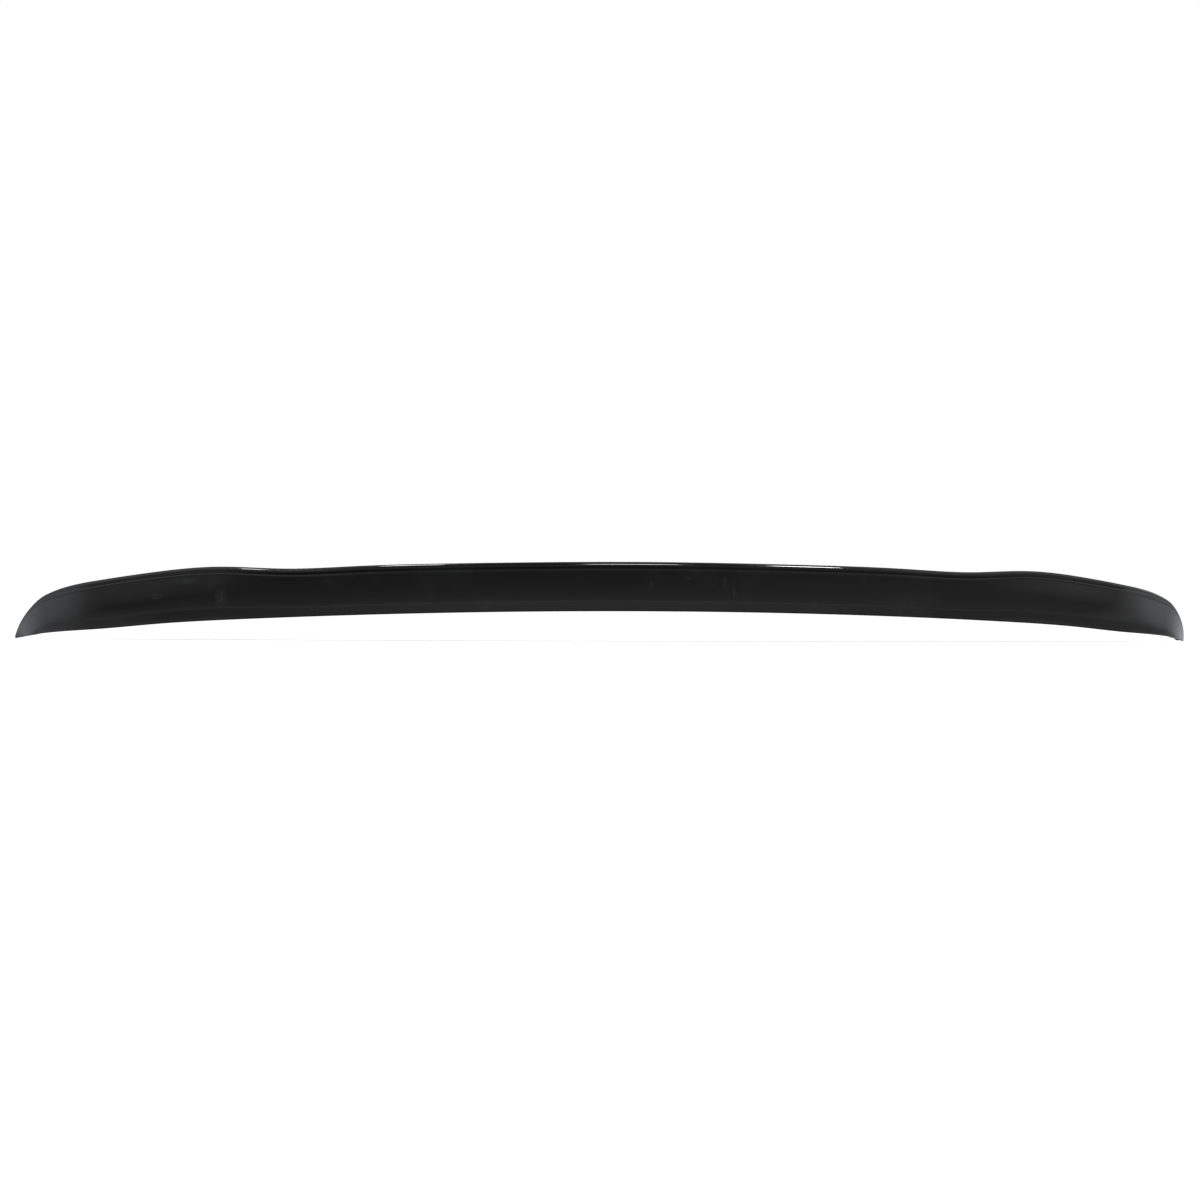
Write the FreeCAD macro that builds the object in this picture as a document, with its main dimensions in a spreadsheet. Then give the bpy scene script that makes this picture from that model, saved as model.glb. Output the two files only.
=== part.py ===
"""Trunk lip spoiler, moulded in one piece as an open-bottomed shell.

The frame: +X to the right seen from behind the car, +Y towards the front of the car, +Z up.
The origin is the middle of the front bonding land, which lies on the trunk lid.

The outer form is lofted through upright sections that follow the trailing lip round the car.
A core, lofted through the same sections set in by the wall, hollows it from below.
Slots in the core leave the cross ribs.
"""
import FreeCAD, Part
import os
import Sketcher

doc = FreeCAD.newDocument("TrunkSpoiler")

# Driving dimensions, in millimetres and degrees
SIZES = [
    ("span", 1240.0, "width over the two tips"),
    ("plan_radius", 1432.0, "sweep of the trailing lip, seen from above"),
    ("wrap_radius", 58.0, "turn of the lip round each end, seen from above"),
    ("front_wrap", 13.0, "turn of the leading edge at the start of that end"),
    ("wrap_heading", 75.0, "direction of the lip at the tip, from straight across"),
    ("crest_inset", 195.0, "from the tip in to the crest of the wing"),
    ("step_width", 68.0, "from the crest in to the dip beside it"),
    ("crown_radius", 8300.0, "rise of the bottom edge, seen from behind"),
    ("wing_droop", 2.6, "drop of the bottom edge below the crown along the wing"),
    ("shoulder_droop", 3.2, "the same at the shoulder"),
    ("tip_droop", 7.0, "the same at the tip"),
    ("mid_height", 49.9, "rear face and lip, in the middle"),
    ("dip_height", 49.3, "the same at the dip"),
    ("crest_height", 54.1, "the same at the crest"),
    ("wing_height", 49.4, "the same along the wing"),
    ("shoulder_height", 40.0, "the same at the shoulder, where the end starts to turn"),
    ("tip_height", 2.8, "the same at the tip"),
    ("mid_chord", 76.0, "lip to leading edge, in the middle"),
    ("crest_chord", 71.0, "the same at the crest"),
    ("tip_chord", 8.0, "the same at the tip"),
    ("lid_rise", 19.0, "leading edge above the bottom edge"),
    ("tip_rise", 0.8, "the same at the tip"),
    ("bead_height", 7.0, "round bead along the lip, in the middle"),
    ("shoulder_bead", 5.4, "the same at the shoulder"),
    ("tip_bead", 1.2, "the same at the tip"),
    ("bead_turn", 34.0, "how far the bead rolls under before the groove"),
    ("groove_width", 2.7, "groove between the bead and the rear face"),
    ("groove_depth", 0.3, "the same, forward from the face's top edge, in the middle"),
    ("wing_groove", 0.9, "the same at the shoulder and round the end"),
    ("ledge_set", 0.9, "the face's top edge forward of the lip"),
    ("face_lean", 5.0, "slope of the rear face, bottom edge forward"),
    ("face_radius", 130.0, "hollow of the rear face"),
    ("edge_chamfer", 1.0, "bevel along the bottom edge"),
    ("skin_radius", 150.0, "hollow of the top skin, from the bead to the leading edge"),
    ("leading_edge", 2.2, "thickness of the leading edge"),
    ("land_width", 18.0, "bonding land behind the leading edge"),
    ("wall", 3.0, "wall of the moulding"),
    ("bead_root", 3.0, "solid stock under the bead"),
    ("rib_pitch", 110.0, "spacing of the cross ribs"),
    ("rib_thickness", 1.8, "thickness of a cross rib"),
    ("rib_clearance", 4.0, "cross ribs above the land, clear of the lid"),
    ("skirt", 10.0, "how far the core runs out below the bottom edge"),
]
RIBS_PER_SIDE = 5
BEAD_ARCS = 4
# Deepest point of the groove, as a share of its width below the bead
GROOVE_SHARE = 0.55
# The step up from the bottom edge to the land: its start past the face and its end, as shares of the chord
TOE_SHARE = 0.2
LAND_SHARE = 0.4

sheet = doc.addObject("Spreadsheet::Sheet", "Sizes")
for row, (alias, size, meaning) in enumerate(SIZES, start=1):
    sheet.set(f"A{row}", meaning)
    sheet.set(f"B{row}", str(size))
    sheet.setAlias(f"B{row}", alias)
doc.recompute()


def value_set(name, formulas):
    """A named set of worked-out values; each formula may use the sheet and the values before it."""
    holder = doc.addObject("App::VarSet", name)
    for key, formula in formulas.items():
        kind = "App::PropertyAngle" if key.endswith("heading") else "App::PropertyFloat"
        holder.addProperty(kind, key, "Section")
        holder.setExpression(key, formula)
    holder.recompute()
    return holder


# Where the main features lie along the span
value_set("Plan", {
    "shoulder_heading": "asin((Sizes.span / 2 - Sizes.wrap_radius * sin(Sizes.wrap_heading))"
                        " / (Sizes.plan_radius - Sizes.wrap_radius))",
    "shoulder": "Sizes.plan_radius * sin(shoulder_heading)",
    "crest": "Sizes.span / 2 - Sizes.crest_inset",
    "dip": "crest - Sizes.step_width",
    "lip": "Sizes.land_width / 2 - Sizes.mid_chord",
    "shoulder_chord": "Sizes.wrap_radius - Sizes.front_wrap",
})


def between(first, last, share):
    """Formula for a value part of the way from one formula to another."""
    return f"({first}) + ({share}) * (({last}) - ({first}))"


def sweep_place(across, droop):
    """Place of a section on the main sweep of the lip, at a distance from the middle."""
    return {
        "across": across,
        "heading": "asin(across / Sizes.plan_radius)",
        "along": "Plan.lip + Sizes.plan_radius * (1 - cos(heading))",
        "droop": droop,
    }


def wrap_place(share):
    """Place of a section on the turn round the end, a share of the way from shoulder to tip."""
    return {
        "heading": between("Plan.shoulder_heading", "Sizes.wrap_heading * 1 deg", share),
        "across": "Plan.shoulder + Sizes.wrap_radius * (sin(heading) - sin(Plan.shoulder_heading))",
        "along": "Plan.lip + Sizes.plan_radius * (1 - cos(Plan.shoulder_heading))"
                 " + Sizes.wrap_radius * (cos(Plan.shoulder_heading) - cos(heading))",
        "droop": between("Sizes.shoulder_droop", "Sizes.tip_droop", share ** DROOP_FALL),
    }


def section_values(name, place, height, chord, rise, bead, groove):
    """All the values of one section: u runs forward from the lip, v up from the bottom edge."""
    return value_set(name, place | {
        "drop": "Sizes.crown_radius - sqrt(Sizes.crown_radius ^ 2 - across ^ 2)",
        "floor": "-Sizes.lid_rise - drop - droop",
        "height": height,
        "chord": chord,
        "rise": rise,
        "bead": bead,
        "groove": groove,
        # Bead, groove and the top edge of the rear face
        "taper": "bead / Sizes.bead_height",
        "bead_v": "height - bead / 2",
        "tuck_u": "bead / 2 * (1 - cos(Sizes.bead_turn))",
        "tuck_v": "bead_v - bead / 2 * sin(Sizes.bead_turn)",
        "ledge_u": "Sizes.ledge_set * taper",
        "ledge_v": "tuck_v - Sizes.groove_width * taper",
        "groove_u": "ledge_u + groove * taper",
        "groove_v": f"tuck_v - {GROOVE_SHARE} * Sizes.groove_width * taper",
        # Rear face and the bevelled bottom edge
        "edge": "Sizes.edge_chamfer * taper",
        "foot_u": "ledge_u + ledge_v * tan(Sizes.face_lean)",
        "face_du": "ledge_u - foot_u",
        "face_dv": "ledge_v - edge",
        "face_reach": "sqrt(Sizes.face_radius ^ 2 / (face_du ^ 2 + face_dv ^ 2) - 0.25)",
        "face_cu": "(ledge_u + foot_u) / 2 - face_dv * face_reach",
        "face_cv": "(ledge_v + edge) / 2 + face_du * face_reach",
        # Top skin, tangent to the bead and running out at the leading edge
        "lead_v": "rise + Sizes.leading_edge",
        "skin_slope": "atan((bead_v - lead_v) / (chord - bead / 2))",
        "skin_reach": "sqrt((chord - bead / 2) ^ 2 + (bead_v - lead_v) ^ 2)",
        "skin_swing": "acos((skin_reach ^ 2 + bead ^ 2 / 4 + bead * Sizes.skin_radius)"
                      " / (skin_reach * (2 * Sizes.skin_radius + bead)))",
        "roll": f"(180 - skin_swing + skin_slope) / {BEAD_ARCS}",
        "skin_u": "bead / 2 * (1 + cos(skin_swing - skin_slope))",
        "skin_v": "bead_v + bead / 2 * sin(skin_swing - skin_slope)",
        "skin_cu": "bead / 2 + (Sizes.skin_radius + bead / 2) * cos(skin_swing - skin_slope)",
        "skin_cv": "bead_v + (Sizes.skin_radius + bead / 2) * sin(skin_swing - skin_slope)",
        # Hollow, set in from the face and the skin by the wall
        "land": "Sizes.land_width * min(1; chord / Plan.shoulder_chord)",
        "roof_v": "ledge_v - Sizes.bead_root",
        "inner_face": "Sizes.face_radius + Sizes.wall",
        "inner_skin": "Sizes.skin_radius + Sizes.wall",
        "hollow_foot_u": "face_cu + sqrt(inner_face ^ 2 - face_cv ^ 2)",
        "hollow_back_u": "face_cu + sqrt(inner_face ^ 2 - (roof_v - face_cv) ^ 2)",
        "hollow_top_u": "skin_cu - sqrt(inner_skin ^ 2 - (roof_v - skin_cv) ^ 2)",
        "hollow_front_u": "chord - land",
        "hollow_front_v": "skin_cv - sqrt(inner_skin ^ 2 - (hollow_front_u - skin_cu) ^ 2)",
    })


# Where the sections between two named places stand, and how much of the change is done there, as shares
INNER_PLACE, INNER_CHANGE = 0.5, 0.4
APPROACH_PLACE = 0.8
STEP_PLACE, STEP_CHANGE = 0.5, 0.55
OUTER_PLACE, OUTER_CHANGE = 0.36, 0.3
WING_PLACE = 0.7

# Sections from the middle to the tip: on the main sweep first, then round the end
SWEEP_SECTIONS = [
    # name, distance from the middle, droop, height
    ("mid", "0", "0", "Sizes.mid_height"),
    ("inner", between("0", "Plan.dip", INNER_PLACE), "0",
     between("Sizes.mid_height", "Sizes.dip_height", INNER_CHANGE)),
    ("approach", between("0", "Plan.dip", APPROACH_PLACE), "0", "Sizes.dip_height"),
    ("dip", "Plan.dip", "0", "Sizes.dip_height"),
    ("step", between("Plan.dip", "Plan.crest", STEP_PLACE), "0",
     between("Sizes.dip_height", "Sizes.crest_height", STEP_CHANGE)),
    ("crest", "Plan.crest", "0", "Sizes.crest_height"),
    ("outer", between("Plan.crest", "Plan.shoulder", OUTER_PLACE),
     between("0", "Sizes.wing_droop", OUTER_CHANGE),
     between("Sizes.crest_height", "Sizes.wing_height", OUTER_CHANGE)),
    ("wing", between("Plan.crest", "Plan.shoulder", WING_PLACE), "Sizes.wing_droop", "Sizes.wing_height"),
    ("shoulder", "Plan.shoulder", "Sizes.shoulder_droop", "Sizes.shoulder_height"),
]
WRAP_SHARES = {"bend": 0.16, "turn": 0.36, "flank": 0.6, "cheek": 0.82, "tip": 1.0}
# The core stops at this section, so that the tip is solid
CORE_END = "turn"

# Powers that set how late a size changes: bead and groove towards the shoulder, the others round the end
BEAD_FALL = 3.0
GROOVE_GROWTH = 2.0
HEIGHT_FALL = 1.33
DROOP_FALL = 1.4
CHORD_FALL = 2.3
RISE_FALL = 3.5

# The chord narrows a little to the crest of the wing, then more to the shoulder
TO_CREST = "min(1; across / Plan.crest) ^ 2"
PAST_CREST = "(max(0; across - Plan.crest) / (Plan.shoulder - Plan.crest)) ^ 2"
CREST_CHORD = between("Sizes.mid_chord", "Sizes.crest_chord", TO_CREST)
SWEEP_CHORD = between(CREST_CHORD, "Plan.shoulder_chord", PAST_CREST)
SWEEP_BEAD = between("Sizes.bead_height", "Sizes.shoulder_bead", f"(across / Plan.shoulder) ^ {BEAD_FALL}")
SWEEP_GROOVE = between(
    "Sizes.groove_depth", "Sizes.wing_groove", f"(across / Plan.shoulder) ^ {GROOVE_GROWTH}")

for name, across, droop, height in SWEEP_SECTIONS:
    section_values(
        name, sweep_place(across, droop), height, SWEEP_CHORD, "Sizes.lid_rise", SWEEP_BEAD, SWEEP_GROOVE)

for name, share in WRAP_SHARES.items():
    height = between("Sizes.shoulder_height", "Sizes.tip_height", share ** HEIGHT_FALL)
    chord = between("Plan.shoulder_chord", "Sizes.tip_chord", share ** CHORD_FALL)
    rise = between("Sizes.lid_rise", "Sizes.tip_rise", share ** RISE_FALL)
    bead = between("Sizes.shoulder_bead", "Sizes.tip_bead", share)
    section_values(name, wrap_place(share), height, chord, rise, bead, "Sizes.wing_groove")


def outer_outline(s):
    """Corners and edges of the moulding's outside at section s, from the bottom edge round to it."""
    corners = [
        (f"{s}.foot_u", f"{s}.edge"),
        (f"{s}.ledge_u", f"{s}.ledge_v"),
        (f"{s}.groove_u", f"{s}.groove_v"),
        (f"{s}.tuck_u", f"{s}.tuck_v"),
        ("0", f"{s}.bead_v"),
        *((f"{s}.bead / 2 * (1 - cos({k} * {s}.roll))", f"{s}.bead_v + {s}.bead / 2 * sin({k} * {s}.roll)")
          for k in range(1, BEAD_ARCS)),
        (f"{s}.skin_u", f"{s}.skin_v"),
        (f"{s}.chord", f"{s}.lead_v"),
        (f"{s}.chord", f"{s}.rise"),
        (f"{s}.chord * {LAND_SHARE}", f"{s}.rise"),
        (f"{s}.foot_u + {s}.chord * {TOE_SHARE}", "0"),
        (f"{s}.foot_u + {s}.edge", "0"),
    ]
    bead_arc = (f"{s}.bead / 2", f"{s}.bead / 2", f"{s}.bead_v")
    arcs = {
        0: ("Sizes.face_radius", f"{s}.face_cu", f"{s}.face_cv"),
        4 + BEAD_ARCS: ("Sizes.skin_radius", f"{s}.skin_cu", f"{s}.skin_cv"),
    }
    arcs.update({3 + k: bead_arc for k in range(BEAD_ARCS + 1)})
    return corners, arcs


def hollow_outline(s):
    """Corners and edges of the core at section s, with v measured up from the skirt."""
    corners = [
        (f"{s}.hollow_foot_u", "0"),
        (f"{s}.hollow_foot_u", "Sizes.skirt"),
        (f"{s}.hollow_back_u", f"{s}.roof_v + Sizes.skirt"),
        (f"{s}.hollow_top_u", f"{s}.roof_v + Sizes.skirt"),
        (f"{s}.hollow_front_u", f"{s}.hollow_front_v + Sizes.skirt"),
        (f"{s}.hollow_front_u", "0"),
    ]
    arcs = {
        1: (f"{s}.inner_face", f"{s}.face_cu", f"{s}.face_cv + Sizes.skirt"),
        3: (f"{s}.inner_skin", f"{s}.skin_cu", f"{s}.skin_cv + Sizes.skirt"),
    }
    return corners, arcs


def number(formula):
    """The present value of a formula."""
    return float(sheet.evalExpression(formula))


def vector(pair):
    return FreeCAD.Vector(number(pair[0]), number(pair[1]), 0)


def arc_edge(start, end, radius, centre):
    """Arc between two points, on the side of the centre where they lie, drawn anticlockwise."""
    middle = (start + end) * 0.5 - centre
    via = centre + middle.normalize() * radius
    anticlockwise = (start - centre).cross(end - centre).z > 0
    return Part.Arc(start, via, end) if anticlockwise else Part.Arc(end, via, start)


def draw_outline(sketch, corners, arcs):
    """Closed outline of lines and arcs, every corner and radius bound to its formula."""
    points = [vector(pair) for pair in corners]
    ends = []
    for i, start in enumerate(points):
        end = points[(i + 1) % len(points)]
        if i in arcs:
            radius, centre_u, centre_v = arcs[i]
            edge = arc_edge(start, end, number(radius), vector((centre_u, centre_v)))
        else:
            edge = Part.LineSegment(start, end)
        sketch.addGeometry(edge, False)
        drawn = sketch.Geometry[i]
        forward = drawn.StartPoint.distanceToPoint(start) < drawn.EndPoint.distanceToPoint(start)
        ends.append((1, 2) if forward else (2, 1))
    constraints = []
    formulas = {}
    for i, (u, v) in enumerate(corners):
        before = (i - 1) % len(corners)
        constraints.append(Sketcher.Constraint("Coincident", before, ends[before][1], i, ends[i][0]))
        for kind, formula, axis in (("DistanceX", u, -2), ("DistanceY", v, -1)):
            if formula == "0":
                constraints.append(Sketcher.Constraint("PointOnObject", i, ends[i][0], axis))
            else:
                formulas[len(constraints)] = formula
                constraints.append(Sketcher.Constraint(kind, -1, 1, i, ends[i][0], number(formula)))
    for i, (radius, _, _) in arcs.items():
        formulas[len(constraints)] = radius
        constraints.append(Sketcher.Constraint("Radius", i, number(radius)))
    sketch.addConstraint(constraints)
    for index, formula in formulas.items():
        sketch.setExpression(f"Constraints[{index}]", formula)


def stand_sketch(body, s, side, lift, outline):
    """Upright sketch across the lip at section s, on the right (side 1) or the left (side -1)."""
    plane = next(o for o in body.Origin.OriginFeatures if o.Role == "YZ_Plane")
    sketch = body.newObject("Sketcher::SketchObject", f"{body.Name}_{s}_{'right' if side > 0 else 'left'}")
    sketch.AttachmentSupport = [(plane, "")]
    sketch.MapMode = "FlatFace"
    turn = FreeCAD.Rotation(FreeCAD.Vector(0, side, 0), number(f"{s}.heading / 1 deg"))
    sketch.AttachmentOffset = FreeCAD.Placement(FreeCAD.Vector(), turn)
    sketch.setExpression("AttachmentOffset.Base.x", f"{s}.along")
    sketch.setExpression("AttachmentOffset.Base.y", f"{s}.floor - {lift}")
    sketch.setExpression("AttachmentOffset.Base.z", f"{side} * {s}.across")
    if s != "mid":
        sketch.setExpression("AttachmentOffset.Rotation.Angle", f"{s}.heading")
    corners, arcs = outline(s)
    draw_outline(sketch, corners, arcs)
    return sketch


def lofted_body(name, sections, lift, outline):
    """Body lofted from the left end to the right through mirrored sections."""
    body = doc.addObject("PartDesign::Body", name)
    left = [stand_sketch(body, s, -1, lift, outline) for s in reversed(sections[1:])]
    right = [stand_sketch(body, s, 1, lift, outline) for s in sections]
    doc.recompute()
    loft = body.newObject("PartDesign::AdditiveLoft", f"{name}_loft")
    loft.Profile = left[0]
    loft.Sections = left[1:] + right
    loft.Ruled = False
    doc.recompute()
    return body


SECTIONS = [row[0] for row in SWEEP_SECTIONS] + list(WRAP_SHARES)
outer = lofted_body("outer_form", SECTIONS, "0", outer_outline)
core = lofted_body("core", SECTIONS[:SECTIONS.index(CORE_END) + 1], "Sizes.skirt", hollow_outline)


def rib_slot(index, side):
    """Thin upright slot across the core, which leaves one rib between the face and the skin."""
    name = f"rib_{'right' if side > 0 else 'left'}_{index + 1}"
    value_set(f"{name}_place", sweep_place(f"{index + 0.5} * Sizes.rib_pitch", "0") | {
        "floor": "-Sizes.crown_radius + sqrt(Sizes.crown_radius ^ 2 - across ^ 2)",
    })
    place = f"{name}_place"
    slot = doc.addObject("Part::Box", name)
    slot.setExpression("Length", "Sizes.rib_thickness")
    slot.setExpression("Width", "Sizes.mid_chord")
    slot.setExpression("Height", "Sizes.crest_height")
    half = "Sizes.rib_thickness / 2"
    slot.Placement = FreeCAD.Placement(
        FreeCAD.Vector(), FreeCAD.Rotation(FreeCAD.Vector(0, 0, side), number(f"{place}.heading / 1 deg")))
    slot.setExpression("Placement.Base.x", f"{side} * {place}.across - {half} * cos({place}.heading)")
    slot.setExpression("Placement.Base.y", f"{place}.along - {side} * {half} * sin({place}.heading)")
    slot.setExpression("Placement.Base.z", f"{place}.floor + Sizes.rib_clearance")
    slot.setExpression("Placement.Rotation.Angle", f"{place}.heading")
    return slot


ribs = doc.addObject("Part::MultiFuse", "rib_slots")
ribs.Shapes = [rib_slot(i, side) for side in (-1, 1) for i in range(RIBS_PER_SIDE)]

slotted_core = doc.addObject("Part::Cut", "slotted_core")
slotted_core.Base = core
slotted_core.Tool = ribs

spoiler = doc.addObject("Part::Cut", "spoiler_shell")
spoiler.Label = "spoiler_shell"
spoiler.Base = outer
spoiler.Tool = slotted_core
doc.recompute()

# Nothing is written unless every object worked out and the moulding is one sound solid
for item in doc.Objects:
    if "Invalid" in item.State or "Error" in item.State:
        raise RuntimeError(f"{item.Name} could not be worked out")
shape = spoiler.Shape
if shape.isNull() or not shape.isValid() or len(shape.Solids) != 1:
    raise RuntimeError(f"{spoiler.Label} is not one sound solid")

os.makedirs("parts", exist_ok=True)
shape.exportStep(f"parts/{spoiler.Label}.step")
box = shape.optimalBoundingBox()
print(f"{spoiler.Label}: {box.XLength:.1f} x {box.YLength:.1f} x {box.ZLength:.1f} mm,"
      f" {shape.Volume / 1000:.1f} cm3, {len(shape.Faces)} faces")
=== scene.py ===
# %% [markdown]
# A lip spoiler for a car's trunk lid, moulded in one piece from gloss black plastic.
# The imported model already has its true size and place, so it is loaded first as a fixed frame.
# Nothing below moves it. The new piece is modelled in the same frame, in metres, and stands for it.

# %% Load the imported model
import math

import bpy
import numpy as np
from mathutils import Matrix, Vector


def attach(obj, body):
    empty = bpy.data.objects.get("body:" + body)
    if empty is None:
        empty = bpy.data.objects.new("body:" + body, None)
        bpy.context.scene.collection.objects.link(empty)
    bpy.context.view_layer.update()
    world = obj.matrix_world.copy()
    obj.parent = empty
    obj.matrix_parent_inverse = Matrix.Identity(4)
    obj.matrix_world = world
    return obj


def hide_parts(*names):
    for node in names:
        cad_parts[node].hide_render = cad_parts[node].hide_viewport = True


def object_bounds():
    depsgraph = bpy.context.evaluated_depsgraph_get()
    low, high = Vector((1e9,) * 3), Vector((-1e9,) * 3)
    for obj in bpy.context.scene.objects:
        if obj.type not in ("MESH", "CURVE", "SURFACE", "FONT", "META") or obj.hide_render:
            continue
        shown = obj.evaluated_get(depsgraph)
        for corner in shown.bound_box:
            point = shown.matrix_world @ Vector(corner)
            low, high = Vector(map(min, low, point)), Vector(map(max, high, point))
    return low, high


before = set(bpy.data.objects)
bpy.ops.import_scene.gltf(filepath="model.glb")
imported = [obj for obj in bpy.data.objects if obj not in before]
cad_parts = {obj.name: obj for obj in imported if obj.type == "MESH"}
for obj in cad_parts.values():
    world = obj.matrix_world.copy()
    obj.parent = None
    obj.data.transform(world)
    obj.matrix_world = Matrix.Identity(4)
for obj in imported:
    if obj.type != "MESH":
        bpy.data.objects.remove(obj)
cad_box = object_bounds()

MM = 0.001
print("the solid reaches from", tuple(cad_box[0]), "to", tuple(cad_box[1]))

# %% [markdown]
# The part is a long shell with a section that changes slowly from the middle to the tips.
# Seen from above, its trailing lip is one wide sweep, with a tight turn round each end.
# The ends could be modelled apart and joined on, but a gloss surface shows every seam.
# So one mesh runs from tip to tip, through sections that are worked out from a few sizes.
# They are the solid's sizes. Only two things are finer here: the rounded corners and the groove's soft end.

# %% Plan of the moulding, seen from above
SPAN = 1240 * MM
PLAN_RADIUS = 1432 * MM
WRAP_RADIUS = 58 * MM
FRONT_WRAP = 13 * MM
WRAP_HEADING = math.radians(75)
CREST_INSET = 195 * MM
STEP_WIDTH = 68 * MM
LAND_WIDTH = 18 * MM
MID_CHORD = 76 * MM

# Where the ends start to turn, and where the wing's crest and the dip beside it lie
wrap_reach = WRAP_RADIUS * math.sin(WRAP_HEADING)
SHOULDER_HEADING = math.asin((SPAN / 2 - wrap_reach) / (PLAN_RADIUS - WRAP_RADIUS))
SHOULDER = PLAN_RADIUS * math.sin(SHOULDER_HEADING)
SHOULDER_CHORD = WRAP_RADIUS - FRONT_WRAP
CREST = SPAN / 2 - CREST_INSET
DIP = CREST - STEP_WIDTH
LIP = LAND_WIDTH / 2 - MID_CHORD
print(f"the ends start to turn {SHOULDER / MM:.1f} mm from the middle,",
      f"at {math.degrees(SHOULDER_HEADING):.1f} degrees")

# %% [markdown]
# Along the lip, only a few places have sizes of their own: the middle, the dip, the crest of the wing,
# the shoulder and the tip. A modeller would draw these sections and let the software find the ones between.
# The same is done here. First come the sections on the main sweep, each at its distance from the middle.

# %% Sections on the main sweep
MID_HEIGHT = 49.9 * MM
DIP_HEIGHT = 49.3 * MM
CREST_HEIGHT = 54.1 * MM
WING_HEIGHT = 49.4 * MM
SHOULDER_HEIGHT = 40.0 * MM
WING_DROOP = 2.6 * MM
SHOULDER_DROOP = 3.2 * MM
CREST_CHORD = 71 * MM
LID_RISE = 19 * MM
MID_BEAD = 7.0 * MM
SHOULDER_BEAD = 5.4 * MM
GROOVE_DEPTH = 0.3 * MM
WING_GROOVE = 0.9 * MM
BEAD_FALL = 3.0
GROOVE_GROWTH = 2.0

# Sections between those places: how far along each lies, and how much of the change in height is done there
TO_DIP, TO_DIP_FALL = 0.5, 0.4
NEAR_DIP = 0.8
UP_STEP, UP_STEP_CLIMB = 0.5, 0.55
WING_TOP, WING_TOP_FALL = 0.36, 0.3
WING_SIDE = 0.7


def between(first, last, share):
    return first + share * (last - first)


def sweep_section(across, height, droop=0.0):
    """Sizes of a section on the main sweep, at a distance from the middle."""
    heading = math.asin(across / PLAN_RADIUS)
    past_crest = max(0.0, across - CREST) / (SHOULDER - CREST)
    crest_chord = between(MID_CHORD, CREST_CHORD, min(1.0, across / CREST) ** 2)
    return {
        "length": PLAN_RADIUS * heading,
        "across": across,
        "along": LIP + PLAN_RADIUS * (1 - math.cos(heading)),
        "heading": heading,
        "height": height,
        "droop": droop,
        "chord": between(crest_chord, SHOULDER_CHORD, past_crest ** 2),
        "rise": LID_RISE,
        "bead": between(MID_BEAD, SHOULDER_BEAD, (across / SHOULDER) ** BEAD_FALL),
        "groove": between(GROOVE_DEPTH, WING_GROOVE, (across / SHOULDER) ** GROOVE_GROWTH),
    }


to_dip_height = between(MID_HEIGHT, DIP_HEIGHT, TO_DIP_FALL)
up_step_height = between(DIP_HEIGHT, CREST_HEIGHT, UP_STEP_CLIMB)
wing_top_height = between(CREST_HEIGHT, WING_HEIGHT, WING_TOP_FALL)
sweep = [
    sweep_section(0.0, MID_HEIGHT),
    sweep_section(TO_DIP * DIP, to_dip_height),
    sweep_section(NEAR_DIP * DIP, DIP_HEIGHT),
    sweep_section(DIP, DIP_HEIGHT),
    sweep_section(between(DIP, CREST, UP_STEP), up_step_height),
    sweep_section(CREST, CREST_HEIGHT),
    sweep_section(between(CREST, SHOULDER, WING_TOP), wing_top_height, WING_TOP_FALL * WING_DROOP),
    sweep_section(between(CREST, SHOULDER, WING_SIDE), WING_HEIGHT, WING_DROOP),
    sweep_section(SHOULDER, SHOULDER_HEIGHT, SHOULDER_DROOP),
]
print(len(sweep), "sections from the middle to the shoulder")

# %% [markdown]
# Round each end the lip turns tightly, while the shell gets lower, shorter and thinner, down to a slim tip.
# Each size falls with its own power of the way round, which says whether it falls early or late.
# The left half is the mirror image of the right one, so only the right one is worked out.

# %% Sections round the end, and the whole row from tip to tip
TIP_HEIGHT = 2.8 * MM
TIP_DROOP = 7.0 * MM
TIP_CHORD = 8 * MM
TIP_RISE = 0.8 * MM
TIP_BEAD = 1.2 * MM
HEIGHT_FALL = 1.33
DROOP_FALL = 1.4
CHORD_FALL = 2.3
RISE_FALL = 3.5
CORE_END = 0.36
WRAP_SHARES = (0.16, CORE_END, 0.6, 0.82, 1.0)
MIRRORED = ("length", "across", "heading")


def wrap_section(share):
    """Sizes of a section on the turn round the end, a share of the way from the shoulder to the tip."""
    heading = between(SHOULDER_HEADING, WRAP_HEADING, share)
    turned = heading - SHOULDER_HEADING
    return {
        "length": PLAN_RADIUS * SHOULDER_HEADING + WRAP_RADIUS * turned,
        "across": SHOULDER + WRAP_RADIUS * (math.sin(heading) - math.sin(SHOULDER_HEADING)),
        "along": LIP + PLAN_RADIUS * (1 - math.cos(SHOULDER_HEADING))
        + WRAP_RADIUS * (math.cos(SHOULDER_HEADING) - math.cos(heading)),
        "heading": heading,
        "height": between(SHOULDER_HEIGHT, TIP_HEIGHT, share ** HEIGHT_FALL),
        "droop": between(SHOULDER_DROOP, TIP_DROOP, share ** DROOP_FALL),
        "chord": between(SHOULDER_CHORD, TIP_CHORD, share ** CHORD_FALL),
        "rise": between(LID_RISE, TIP_RISE, share ** RISE_FALL),
        "bead": between(SHOULDER_BEAD, TIP_BEAD, share),
        "groove": WING_GROOVE,
    }


right_half = sweep + [wrap_section(share) for share in WRAP_SHARES]
left_half = [
    {key: -size if key in MIRRORED else size for key, size in section.items()}
    for section in reversed(right_half[1:])
]
sections = {key: np.array([section[key] for section in left_half + right_half]) for key in right_half[0]}
print(len(sections["length"]), "sections from tip to tip")

# %% [markdown]
# A cubic curve with no jump in its bend keeps a gloss surface free of kinks, which a reflection would show.
# Its bends at the given places come from one small set of linear equations.
# The stations of the mesh then lie close together round the ends and further apart on the long sweep.

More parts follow.
